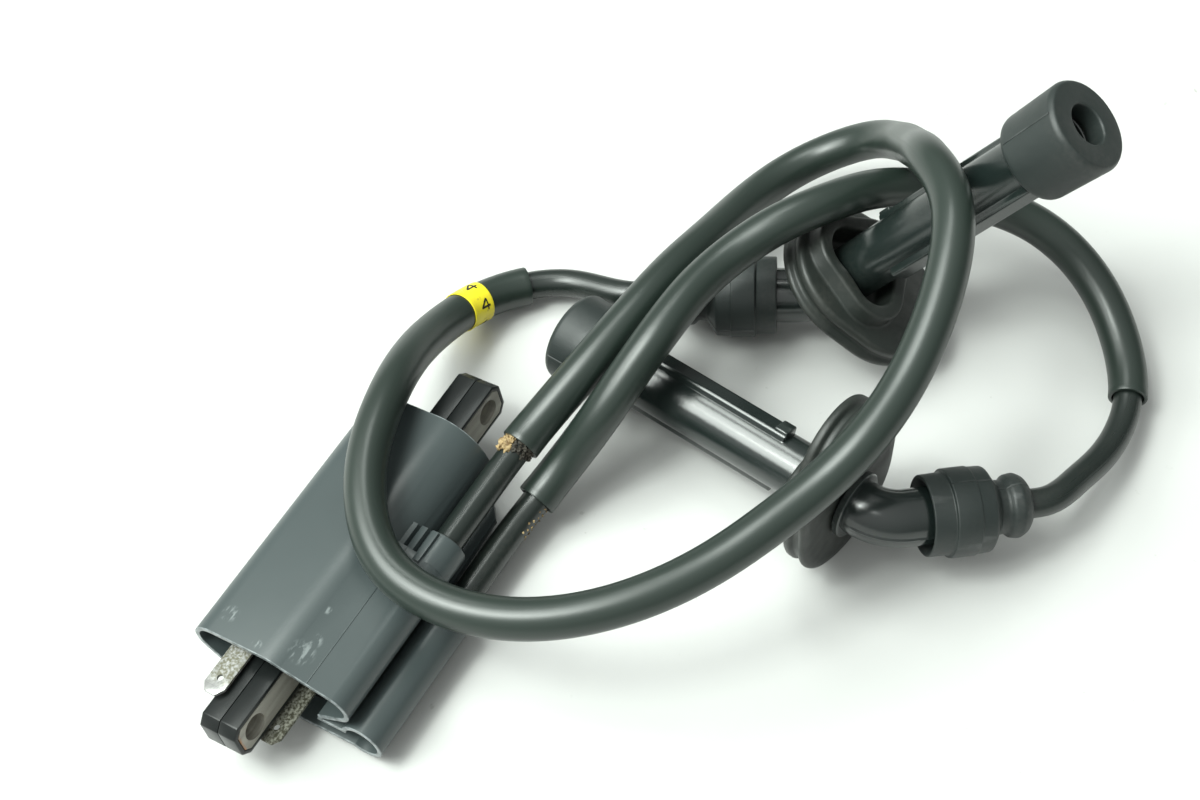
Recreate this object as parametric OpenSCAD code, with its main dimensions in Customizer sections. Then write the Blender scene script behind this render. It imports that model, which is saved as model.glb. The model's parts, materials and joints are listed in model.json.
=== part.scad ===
// Twin-lead ignition coil: one potted coil body with a bare laminated core through it,
// two high-tension leads in protective sleeves, and two angled spark plug caps.
// The body lies on a flat surface, tipped a little onto its lead towers.

/* [Core and mounting] */
// Distance between the two mounting holes along the core
hole_spacing = 95; // [94.6:0.1:95.4]
// Diameter of the mounting holes (M6 clearance)
hole_d = 6.5; // [6.4:0.1:6.8]
// Overall length of the core over its end covers
core_len = 107.4; // [107:0.1:108]
// Width of a core lug along the axis of its hole
core_w = 10; // [9.8:0.1:10.2]
// Height of a core lug
core_h = 10.4; // [10.2:0.1:10.6]
// Thickness of the plastic cover over the lugs
cover_t = 1.2; // [1:0.1:1.3]

/* [Housing] */
// Length of the moulded housing, rim to rim
house_len = 72; // [71:0.5:73]
// Wall thickness of the housing
wall = 1.2; // [1.1:0.1:1.4]
// Depth of the open rim before the resin at the near end
near_recess = 6; // [4:0.5:8]
// Depth of the open rim before the resin at the far end
far_recess = 3; // [2:0.5:5]
// Angle by which the body leans about its long axis as it lies
lean = 12; // [11.5:0.5:12.5]
// Height of the core's axis above the surface
core_z = 14.82; // [14.82:0.02:14.9]

/* [Leads] */
// Outer diameter of the high-tension lead
lead_d = 7; // [6.8:0.1:7.1]
// Outer diameter of the protective sleeve
sleeve_d = 9.7; // [9.6:0.1:9.8]
// Inner diameter of the protective sleeve
sleeve_bore = 7.6; // [7.5:0.1:7.8]

/* [Plug caps] */
// Length of a cap from the elbow's centre to the plug end
stem_len = 92; // [91:0.5:93]
// Bend of the elbow away from straight
bend = 50; // [49:0.5:51]
// Outer diameter of the plug-end boot
boot_d = 22.8; // [22.4:0.2:23]
// Diameter of the hole that takes the spark plug's insulator
plug_bore = 10; // [9.8:0.1:10.2]
// Largest diameter of the lead-end boot
lead_boot_d = 21; // [20.5:0.5:21]
// Outer diameter of the stem's tube
stem_d = 14; // [13.8:0.1:14.2]

/* [Hidden] */

// The body's cross-section is drawn looking along the core: first number to the left,
// second number up, both from the core's axis.
body_y = 5;                   // sideways place of the core's axis
gap = 0.3;                    // space between neighbouring pieces of different use
slip = 0.05;                  // space between pieces that are cast or pressed together
lead_r = lead_d / 2;
sleeve_r = sleeve_d / 2;
tower_a = [-17.2, -0.2];      // axis of the upper lead tower
tower_b = [-22.6, -11.8];     // axis of the lower lead tower
tower_r = 5.4;                // outer radius of a tower
tower_bore = lead_r + 1.1;    // inner radius of a tower, with its seal
tower_a_end = 11;             // where the upper tower's mouth is along the core
tower_b_end = 5;              // where the lower tower's mouth is along the core
lead_start = -10;             // where a lead's end sits inside its tower
seal_len = 9;                 // length of the rubber seal in a tower's mouth

// The steel stack fills the lug on its right side and is covered on the other sides.
steel_w = core_w - cover_t;
steel_h = core_h - 2 * cover_t;
steel_y = -core_w / 2 + steel_w / 2;
steel_len = core_len - 2 * cover_t;
lug_len = core_len / 2 - house_len / 2 + 4;

// Windings, as radii about the steel's own axis
primary_r = [6.7, 7.5];
secondary_r = [7.9, 8.6];
flange_r = 8.9;
coil_len = 50;
slots = 8;                    // sections of the secondary winding

// Cap frame: the elbow's centre, then [roll, -rise, heading] of the stem
cap_places = [
    [[120, -50, 13], [93, -54, -64]],
    [[68, -95, 20.4], [192, 5.2, 83]]
];
// The direction in which each seal's long side is turned on its stem
seal_turns = [-101, -8];
stem_r = stem_d / 2;
elbow_r = 6.8;
cap_bore_r = 5.6;             // bore of the stem for the resistor and the clip
boot_grip = 17;               // length of the plug boot
seal_x = 9;                   // where the well seal starts along the stem
seal_t = 6.6;                 // thickness of the well seal's flange
seal_floor = 4.2;             // thickness of the seal where it grips the stem
seal_collar = 4.4;            // length of the well seal's hollow collar
tab_x = 28.5;                 // where the seal's stop starts along the stem
lead_stop = 14;               // where the lead ends inside the cap's lead arm
arm_len = 24;                 // length of the cap's lead arm
lead_boot_x = 9.6;            // where the lead boot's open skirt starts
lead_boot_end = 35;           // where the lead leaves the lead boot

// A point at distance d from the elbow along a cap's lead arm
function turn_x(p, a) = [p[0], p[1] * cos(a) - p[2] * sin(a), p[1] * sin(a) + p[2] * cos(a)];
function turn_y(p, a) = [p[0] * cos(a) + p[2] * sin(a), p[1], -p[0] * sin(a) + p[2] * cos(a)];
function turn_z(p, a) = [p[0] * cos(a) - p[1] * sin(a), p[0] * sin(a) + p[1] * cos(a), p[2]];
function turned(p, r) = turn_z(turn_y(turn_x(p, r[0]), r[1]), r[2]);
function on_arm(cap, d) =
    cap_places[cap][0] + turned([-cos(bend), sin(bend), 0] * d, cap_places[cap][1]);

// A point inside a tower, at x along the core
function in_body(x, yz) = [x, body_y, core_z] + turn_x([0, yz[0], yz[1]], -lean);

// Routes of the two leads, from inside the tower to inside the cap's arm
route_a = concat(
    [for (x = [lead_start, 2, 15, 28]) in_body(x, tower_a)],
    [
        [42, -12.5, 19.5], [55, -15, 24], [69, -18, 29], [83, -20, 31], [98.5, -21, 29],
        [117, -22, 23], [136.5, -23, 16], [150.5, -27, 14.5], [159.5, -34.5, 18], [162.5, -43, 24.5],
        [159, -50, 32.5], [152.5, -55, 42], [143.5, -61, 53.5], [132.5, -68, 66.5], [124, -76, 71.5],
        [114, -82.5, 73], [102, -87, 70.5], [89, -89.5, 66], [76.5, -90, 61.5], [64, -88.5, 57.5],
        [53, -85, 53], [40, -79.5, 49], [26.5, -72.5, 45], [13, -63, 42], [2, -51, 39],
        [-5, -37.5, 36], [-8, -23, 34], [-6, -9, 33], [3.5, 3.5, 33], [16, 11.5, 33],
        [30, 16.5, 31.5], [47, 21.5, 24], [64, 24, 14], [79, 22, 7.5], [89.5, 15.5, 5.5],
        [95.5, 6.5, 6]
    ],
    [for (d = [47, lead_boot_end, 26, lead_stop]) on_arm(0, d)]
);
route_b = concat(
    [for (x = [lead_start, 2, 14, 25]) in_body(x, tower_b)],
    [
        [36, -20.5, 9.5], [47, -23, 15.5], [56.5, -26.5, 25.8], [67, -28.5, 33], [77.5, -30, 37.5],
        [89.5, -31, 38.5], [103, -34, 39], [114, -40, 42.5], [126, -47.5, 43], [139, -54.5, 38.5],
        [149.5, -63.5, 32.5], [158, -75, 25.5], [163, -88, 20], [161.5, -101.5, 16], [155.5, -113, 12.5],
        [147, -122, 9.5], [136, -128.5, 8], [125.5, -130.5, 8.5], [115, -130, 10.5], [105, -128, 13.5]
    ],
    [for (d = [39, lead_boot_end, 26, lead_stop]) on_arm(1, d)]
);
sleeve_a_span = [4, 38];      // first and last route points that the sleeve covers
sleeve_b_span = [4, 20];
band_span = [36, 37];         // route points on either side of the marker band
cord_sides = 10;

// Frame vectors across a route at point i, and a ring of points of radius r there
function unit(v) = v / norm(v);
function heading(route, i) =
    unit(route[min(i + 1, len(route) - 1)] - route[max(i - 1, 0)]);
function ring(route, i, r) =
    let (t = heading(route, i), u = unit(cross([0, 0, 1], t)), v = cross(t, u))
    [for (k = [0:cord_sides - 1]) route[i] + r * (cos(360 * k / cord_sides) * u
        + sin(360 * k / cord_sides) * v)];

// The two triangles of a tube's wall between rings i and i + 1 at side k
function wall_pair(i, k) =
    let (n = cord_sides, a = i * n + k, b = i * n + (k + 1) % n)
    [[a, a + n, b + n], [a, b + n, b]];

// A solid tube along route points first..last
module cord(route, first, last, r) {
    n = cord_sides;
    rings = last - first + 1;
    points = [for (i = [first:last]) each ring(route, i, r)];
    sides = [for (i = [0:rings - 2], k = [0:n - 1]) each wall_pair(i, k)];
    ends = [[for (k = [0:n - 1]) k], [for (k = [n - 1:-1:0]) (rings - 1) * n + k]];
    polyhedron(points, concat(sides, ends), convexity = 8);
}

// A hollow tube along route points first..last
module sleeve(route, first, last, r_out, r_in) {
    n = cord_sides;
    rings = last - first + 1;
    points = concat([for (i = [first:last]) each ring(route, i, r_out)],
        [for (i = [first:last]) each ring(route, i, r_in)]);
    inner = rings * n;
    outside = [for (i = [0:rings - 2], k = [0:n - 1]) each wall_pair(i, k)];
    inside = [for (face = outside) [for (k = [2:-1:0]) face[k] + inner]];
    start = [for (k = [0:n - 1]) [k, (k + 1) % n, inner + (k + 1) % n, inner + k]];
    last_ring = (rings - 1) * n;
    finish = [for (face = start) [for (k = [3:-1:0]) face[k] + last_ring]];
    polyhedron(points, concat(outside, inside, start, finish), convexity = 8);
}

// Places a piece that is drawn in the body's cross-section frame
module in_body_frame() {
    translate([0, body_y, core_z]) rotate([-lean, 0, 0]) children();
}

// Extrudes a cross-section along the core from x0 to x1
module along(x0, x1) {
    translate([x0, 0, 0]) rotate([90, 0, 90]) linear_extrude(x1 - x0) children();
}

// A round bar along the core
module bar(x0, x1, yz, r, fn = 48) {
    translate([x0, yz[0], yz[1]]) rotate([0, 90, 0]) cylinder(h = x1 - x0, r = r, $fn = fn);
}

// ---- Housing ----
// The rounded outline of the winding chamber, shrunk by t
module chamber_outline(t) {
    hull() {
        translate([13, 4.6]) circle(r = 6.2 - t, $fn = 48);
        translate([-0.8, -1.6]) circle(r = 12.2 - t, $fn = 64);
        translate([-3.5, -6.5]) circle(r = 9.2 - t, $fn = 48);
    }
}

// The same outline with the fairing that carries the upper tower
module fairing_outline(t) {
    hull() {
        translate([-0.8, -1.6]) circle(r = 12 - t, $fn = 48);
        translate(tower_a) circle(r = tower_r - 0.1 - t, $fn = 48);
    }
}

// The low skirt that joins the chamber to the lower tower
module skirt_outline(t) {
    hull() {
        translate([-5, -12.6]) circle(r = 3 - t, $fn = 32);
        translate([-21.5, -13]) circle(r = 3 - t, $fn = 32);
    }
}

module housing() {
    half = house_len / 2;
    color([0.17, 0.2, 0.22]) in_body_frame() {
        difference() {
            union() {
                along(-half, half) chamber_outline(0);
                along(-half, 4) fairing_outline(0);
                along(-half, 4) skirt_outline(0);
                bar(3, tower_a_end, tower_a, tower_r);
                bar(-half, tower_b_end, tower_b, tower_r);
                tower_ribs();
                gusset();
            }
            along(-half - 1, half + 1) chamber_outline(wall);
            along(-half - 1, -14) fairing_outline(wall);
            along(-half - 1, -16) skirt_outline(1);
            bar(-half - 1, -16, tower_b, tower_r - 1.1);
            bar(lead_start - slip, tower_a_end + 1, tower_a, tower_bore + slip);
            bar(lead_start - slip, tower_b_end + 1, tower_b, tower_bore + slip);
            bar(-15, lead_start + 1, tower_a, 1.6);
            bar(-17, lead_start + 1, tower_b, 1.6);
        }
    }
}

// Three short ribs on top of the upper tower, beside the chamber
module tower_ribs() {
    for (y = [-17.4, -14.4, -11.6])
        translate([2, y, 0]) cube([tower_a_end - 2.4, 1.7, tower_r + 0.7]);
}

// The flat plate between the chamber and the lower lead
module gusset() {
    translate([0, 0, -11.4]) linear_extrude(1.8)
        polygon([[2, -4], [29, -4], [30.5, -15.5], [27, -18.2], [2, -19]]);
}

// ---- Filling and core ----
module potting_resin() {
    half = house_len / 2;
    color([0.07, 0.07, 0.08]) in_body_frame()
        difference() {
            along(-half + near_recess, half - far_recess) chamber_outline(wall + slip);
            bar(-coil_len / 2 - 1.2, coil_len / 2 + 1.2, [steel_y, 0], flange_r + slip);
            core_slot(slip);
            for (side = [1, -1]) blade_slot(side);
        }
}

// The space that the core stack takes through the body
module core_slot(space) {
    translate([0, steel_y, 0])
        cube([house_len + 20, steel_w + 2 * space, steel_h + 2 * space], center = true);
}

module core_laminations() {
    color([0.5, 0.5, 0.49]) in_body_frame()
        difference() {
            translate([0, steel_y, 0]) cube([steel_len, steel_w, steel_h], center = true);
            lug_ends(steel_len / 2, steel_h, 2.2);
            for (side = [1, -1]) mounting_hole(side);
            for (i = [1:8], edge = [1, -1])
                translate([0, steel_y - steel_w / 2 + i * steel_w / 9, edge * steel_h / 2])
                    cube([steel_len - 4, 0.12, 0.3], center = true);
        }
}

module mounting_hole(side) {
    translate([side * hole_spacing / 2, 20, 0]) rotate([90, 0, 0])
        cylinder(h = 40, d = hole_d, $fn = 64);
}

// Cutters that bevel the four long-edge corners of a bar's ends
module lug_ends(end, height, bevel) {
    for (sx = [1, -1], sz = [1, -1])
        translate([sx * end, 0, sz * height / 2]) rotate([0, 45, 0])
            cube([bevel, 60, bevel], center = true);
}

// One half of a lug's cover: side +1 is the closed left half, -1 the open right half
module core_cover(end, side) {
    near_edge = core_len / 2 - lug_len;
    y_low = side > 0 ? slip / 2 : -core_w / 2;
    color([0.06, 0.06, 0.06]) in_body_frame()
        difference() {
            translate([end > 0 ? near_edge : -core_len / 2, y_low, -core_h / 2])
                cube([lug_len, core_w / 2 - slip / 2, core_h]);
            lug_ends(core_len / 2, core_h, 3);
            difference() {
                translate([0, steel_y - (side > 0 ? 0 : 1), 0])
                    cube([steel_len + 2 * slip, steel_w + 2 * slip + (side > 0 ? 0 : 2),
                        steel_h + 2 * slip], center = true);
                lug_ends(steel_len / 2 + slip, steel_h + 2 * slip, 2.2);
            }
            mounting_hole(end);
            chamber_clearance();
        }
}

// Keeps the covers clear of the resin they butt against
module chamber_clearance() {
    half = house_len / 2;
    translate([-half + near_recess - slip, -30, -30])
        cube([house_len - near_recess - far_recess + 2 * slip, 60, 60]);
}

module core_cover_near_left() { core_cover(-1, 1); }
module core_cover_near_right() { core_cover(-1, -1); }
module core_cover_far_left() { core_cover(1, 1); }
module core_cover_far_right() { core_cover(1, -1); }

// A tube about the steel's axis
module winding_tube(x0, x1, r_in, r_out) {
    difference() {
        bar(x0, x1, [steel_y, 0], r_out, 64);
        bar(x0 - 1, x1 + 1, [steel_y, 0], r_in, 64);
    }
}

module primary_bobbin() {
    color([0.75, 0.72, 0.62]) in_body_frame()
        difference() {
            union() {
                bar(-coil_len / 2, coil_len / 2, [steel_y, 0], primary_r[0] - slip, 64);
                for (x = [-coil_len / 2 - 1, coil_len / 2])
                    bar(x, x + 1, [steel_y, 0], primary_r[1], 64);
            }
            core_slot(slip);
        }
}

module primary_winding() {
    color([0.72, 0.4, 0.2]) in_body_frame()
        winding_tube(-coil_len / 2 + slip, coil_len / 2 - slip, primary_r[0], primary_r[1]);
}

module secondary_bobbin() {
    pitch = (coil_len + 2) / slots;
    color([0.85, 0.83, 0.75]) in_body_frame() {
        winding_tube(-coil_len / 2 - 1, coil_len / 2 + 1, primary_r[1] + slip, secondary_r[0]);
        for (i = [0:slots])
            winding_tube(-coil_len / 2 - 1 + i * (pitch - 1 / slots),
                -coil_len / 2 + i * (pitch - 1 / slots), secondary_r[0] - 0.2, flange_r);
    }
}

module secondary_winding() {
    pitch = (coil_len + 2) / slots - 1 / slots;
    color([0.62, 0.3, 0.14]) in_body_frame()
        for (i = [0:slots - 1])
            winding_tube(-coil_len / 2 + i * pitch + slip, -coil_len / 2 - 1 + (i + 1) * pitch - slip,
                secondary_r[0] + slip, secondary_r[1]);
}

// ---- Terminals ----
blade_w = 5.8;
blade_t = 0.8;
blade_y = 5.6;                // sideways place of a blade from the core's axis
blade_z = 6.6;                // height of the upper blade above the core's axis
blade_out = 11.5;             // length of a blade beyond the housing's rim
blade_in = 3;                 // length of a blade inside the resin

module blade_slot(side) {
    half = house_len / 2;
    translate([-half + near_recess - 1, side * blade_y - blade_w / 2 - slip,
        side * blade_z - blade_t / 2 - slip])
        cube([blade_in + 1 + slip, blade_w + 2 * slip, blade_t + 2 * slip]);
}

module blade(side) {
    half = house_len / 2;
    tip = -half - blade_out;
    color([0.72, 0.72, 0.7]) in_body_frame()
        translate([0, side * blade_y, side * blade_z - blade_t / 2])
            difference() {
                linear_extrude(blade_t)
                    polygon([
                        [-half + near_recess + blade_in, blade_w / 2], [tip + 2, blade_w / 2],
                        [tip, blade_w / 4], [tip, -blade_w / 4],
                        [tip + 2, -blade_w / 2], [-half + near_recess + blade_in, -blade_w / 2]
                    ]);
                translate([tip + 4.2, 0, -1]) cylinder(h = 3, d = 1.6, $fn = 24);
            }
}

module terminal_positive() { blade(1); }
module terminal_negative() { blade(-1); }

// The brass spike that a lead's conductor is pushed onto
module ht_contact(yz, inner) {
    color([0.75, 0.6, 0.3]) in_body_frame() {
        bar(inner, lead_start - slip, yz, 1.5, 24);
    }
}

module ht_contact_a() { ht_contact(tower_a, -14); }
module ht_contact_b() { ht_contact(tower_b, -16); }

// The rubber ring that closes a tower's mouth round its lead
module tower_seal(yz, mouth) {
    color([0.05, 0.05, 0.05]) in_body_frame()
        difference() {
            bar(mouth - seal_len, mouth + 0.6, yz, tower_bore);
            bar(mouth - seal_len - 1, mouth + 2, yz, lead_r + slip);
        }
}

module tower_seal_a() { tower_seal(tower_a, tower_a_end); }
module tower_seal_b() { tower_seal(tower_b, tower_b_end); }

// ---- Leads ----
module lead_a() {
    color([0.08, 0.1, 0.1]) cord(route_a, 0, len(route_a) - 1, lead_r);
}

module lead_b() {
    color([0.08, 0.1, 0.1]) cord(route_b, 0, len(route_b) - 1, lead_r);
}

module sleeve_a() {
    color([0.1, 0.13, 0.12])
        sleeve(route_a, sleeve_a_span[0], sleeve_a_span[1], sleeve_r, sleeve_bore / 2);
}

module sleeve_b() {
    color([0.1, 0.13, 0.12])
        sleeve(route_b, sleeve_b_span[0], sleeve_b_span[1], sleeve_r, sleeve_bore / 2);
}

module marker_band() {
    from = route_a[band_span[0]];
    to = route_a[band_span[1]];
    along_band = to - from;
    color([0.95, 0.8, 0.05])
        translate(from + along_band * 0.48)
            rotate([0, acos(along_band[2] / norm(along_band)), atan2(along_band[1], along_band[0])])
                difference() {
                    cylinder(h = 8, r = sleeve_r + 0.35, $fn = 40);
                    translate([0, 0, -1]) cylinder(h = 10, r = sleeve_r + 0.1, $fn = 40);
                }
}

// ---- Plug caps ----
module in_cap_frame(cap) {
    translate(cap_places[cap][0]) rotate(cap_places[cap][1]) children();
}

// A round bar along a cap's lead arm
module arm_bar(d0, d1, r, fn = 48) {
    rotate([0, 0, 180 - bend]) bar(d0, d1, [0, 0], r, fn);
}

// Turns a half profile, [distance, radius], about the stem
module turned_on_stem(profile) {
    rotate([0, 90, 0]) rotate_extrude($fn = 64)
        polygon([for (p = profile) [p[1], p[0]]]);
}

module cap_body(cap) {
    color([0.1, 0.12, 0.13]) in_cap_frame(cap)
        difference() {
            union() {
                sphere(r = elbow_r + 0.3, $fn = 48);
                bar(0, seal_x + 1, [0, 0], elbow_r);
                bar(seal_x - 2, seal_x - gap, [0, 0], stem_r + 1.4);
                bar(seal_x - 1, stem_len - 6, [0, 0], stem_r);
                stem_ribs();
                arm_bar(0, arm_len, elbow_r);
            }
            bar(22, stem_len, [0, 0], cap_bore_r);
            bar(6, 23, [0, 0], 1.6, 24);
            arm_bar(lead_stop - 1, arm_len + 1, lead_r + 0.1);
            arm_bar(5, lead_stop, 1.9, 24);
        }
}

// Two flat ribs along the stem, and the stop behind the well seal
module stem_ribs() {
    run = stem_len - boot_grip - 1 - tab_x;
    for (a = [14, 194])
        rotate([a, 0, 0]) translate([tab_x, -2.4, 0]) cube([run, 4.8, stem_r + 1.2]);
    rotate([194, 0, 0]) translate([tab_x - 0.5, -2.9, stem_r - 1]) cube([4.6, 5.8, 3.4]);
}

module lead_boot(cap) {
    d = lead_boot_x;
    r = lead_boot_d / 2;
    color([0.13, 0.13, 0.12]) in_cap_frame(cap) rotate([0, 0, 180 - bend])
        turned_on_stem([
            [d, elbow_r + 1.8], [d, r - 0.9], [d + 5.3, r - 0.9], [d + 5.3, r], [d + 15, r],
            [d + 17.5, elbow_r - 0.3], [d + 19.5, elbow_r - 0.4], [d + 20.5, elbow_r + 0.6],
            [d + 22.5, elbow_r + 0.9], [d + 24.5, elbow_r], [lead_boot_end, elbow_r - 1.4],
            [lead_boot_end, lead_r + slip], [arm_len + gap, lead_r + slip],
            [arm_len + gap, elbow_r + slip], [d + 3, elbow_r + slip]
        ]);
}

module lead_screw(cap) {
    color([0.78, 0.65, 0.35]) in_cap_frame(cap) arm_bar(6, lead_stop - slip, 1.8, 24);
}

module resistor(cap) {
    color([0.82, 0.8, 0.74]) in_cap_frame(cap) {
        bar(30, 50, [0, 0], 3.6, 32);
        bar(27, 30.2, [0, 0], 4.2, 32);
        bar(49.8, 52, [0, 0], 4.2, 32);
    }
}

module contact_spring(cap) {
    turns = 4;
    color([0.7, 0.7, 0.68]) in_cap_frame(cap)
        translate([52.6, 0, 0]) rotate([0, 90, 0])
            linear_extrude(height = 11.6, twist = -360 * turns, slices = 14 * turns)
                translate([3, 0]) circle(r = 0.55, $fn = 8);
}

module plug_clip(cap) {
    color([0.78, 0.65, 0.35]) in_cap_frame(cap)
        turned_on_stem([
            [64.8, 0.8], [64.8, 5.2], [66.3, 5.2], [66.3, 4.3], [73, 4.3], [73, 3.4],
            [67, 3.4], [67, 0.8]
        ]);
}

module plug_boot(cap) {
    start = stem_len - boot_grip;
    color([0.12, 0.12, 0.12]) in_cap_frame(cap)
        turned_on_stem([
            [start, stem_r + slip], [start, boot_d / 2 - 0.9], [start + 1, boot_d / 2 - 0.6],
            [stem_len - 1, boot_d / 2], [stem_len, boot_d / 2 - 0.8],
            [stem_len, plug_bore / 2], [stem_len - 6 + slip, plug_bore / 2],
            [stem_len - 6 + slip, stem_r + slip]
        ]);
}

// The outline of a well seal's flange, shrunk by t: round about the stem, long to one side
module seal_outline(t) {
    hull() {
        circle(r = 18.5 - t, $fn = 48);
        translate([8, 0]) circle(r = 19 - t, $fn = 48);
        translate([16.5, 0]) circle(r = 14 - t, $fn = 32);
    }
}

// The outline of its hollow collar: a triangle with well-rounded corners
module collar_outline(r) {
    hull() for (a = [60:120:300]) rotate(a) translate([6, 0]) circle(r = r - 6, $fn = 32);
}

module well_seal(cap) {
    color([0.12, 0.12, 0.11]) in_cap_frame(cap) rotate([seal_turns[cap], 0, 0])
        rotate([0, 90, 0]) translate([0, 0, seal_x])
            difference() {
                union() {
                    linear_extrude(2.2) seal_outline(0);
                    translate([0, 0, 2]) linear_extrude(2.4) seal_outline(1);
                    translate([0, 0, 4.2]) linear_extrude(seal_t - 4.2) seal_outline(0.4);
                    linear_extrude(seal_t + seal_collar) collar_outline(15.5);
                }
                translate([0, 0, seal_floor]) linear_extrude(20) collar_outline(11.5);
                translate([0, 0, -1]) cylinder(h = 20, r = stem_r + 0.08, $fn = 64);
            }
}

module cap_body_1() { cap_body(0); }
module lead_boot_1() { lead_boot(0); }
module lead_screw_1() { lead_screw(0); }
module resistor_1() { resistor(0); }
module contact_spring_1() { contact_spring(0); }
module plug_clip_1() { plug_clip(0); }
module plug_boot_1() { plug_boot(0); }
module well_seal_1() { well_seal(0); }
module cap_body_2() { cap_body(1); }
module lead_boot_2() { lead_boot(1); }
module lead_screw_2() { lead_screw(1); }
module resistor_2() { resistor(1); }
module contact_spring_2() { contact_spring(1); }
module plug_clip_2() { plug_clip(1); }
module plug_boot_2() { plug_boot(1); }
module well_seal_2() { well_seal(1); }

housing();
potting_resin();
core_laminations();
core_cover_near_left();
core_cover_near_right();
core_cover_far_left();
core_cover_far_right();
primary_bobbin();
primary_winding();
secondary_bobbin();
secondary_winding();
terminal_positive();
terminal_negative();
ht_contact_a();
ht_contact_b();
tower_seal_a();
tower_seal_b();
lead_a();
lead_b();
sleeve_a();
sleeve_b();
marker_band();
cap_body_1();
lead_boot_1();
lead_screw_1();
resistor_1();
contact_spring_1();
plug_clip_1();
plug_boot_1();
well_seal_1();
cap_body_2();
lead_boot_2();
lead_screw_2();
resistor_2();
contact_spring_2();
plug_clip_2();
plug_boot_2();
well_seal_2();
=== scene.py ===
"""Twin-lead ignition coil on a pale floor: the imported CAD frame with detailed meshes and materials."""

import json
import math

import bmesh
import bpy
import numpy as np
from mathutils import Euler, Matrix, Vector, noise


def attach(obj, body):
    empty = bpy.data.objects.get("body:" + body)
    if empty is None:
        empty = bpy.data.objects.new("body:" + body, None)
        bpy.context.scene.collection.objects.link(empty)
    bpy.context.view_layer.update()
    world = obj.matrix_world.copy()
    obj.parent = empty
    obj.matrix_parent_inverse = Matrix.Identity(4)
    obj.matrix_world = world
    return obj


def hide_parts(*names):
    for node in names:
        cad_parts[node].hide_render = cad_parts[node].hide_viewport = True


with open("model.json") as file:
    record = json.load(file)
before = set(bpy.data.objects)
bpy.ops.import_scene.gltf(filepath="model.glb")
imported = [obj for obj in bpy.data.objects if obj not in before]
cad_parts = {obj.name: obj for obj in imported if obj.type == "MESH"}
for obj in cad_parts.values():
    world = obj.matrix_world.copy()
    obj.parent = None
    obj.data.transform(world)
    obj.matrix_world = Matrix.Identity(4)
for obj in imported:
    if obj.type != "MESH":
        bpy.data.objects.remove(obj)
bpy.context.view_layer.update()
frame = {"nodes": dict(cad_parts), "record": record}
MM = 0.001
scene = bpy.context.scene

# ---- Camera ----
CAMERA_AT = Vector((-181.1, -170.3, 483.5)) * MM
CAMERA_AIM = Vector((72.8, -15.9, 0.0)) * MM
camera_data = bpy.data.cameras.new("camera")
camera_data.lens = 68.5
camera_data.sensor_width = 36.0
camera_data.clip_start = 0.01
camera_data.clip_end = 20.0
camera = bpy.data.objects.new("camera", camera_data)
camera.location = CAMERA_AT
camera.rotation_euler = (CAMERA_AIM - CAMERA_AT).to_track_quat("-Z", "Y").to_euler()
scene.collection.objects.link(camera)
scene.camera = camera


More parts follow.
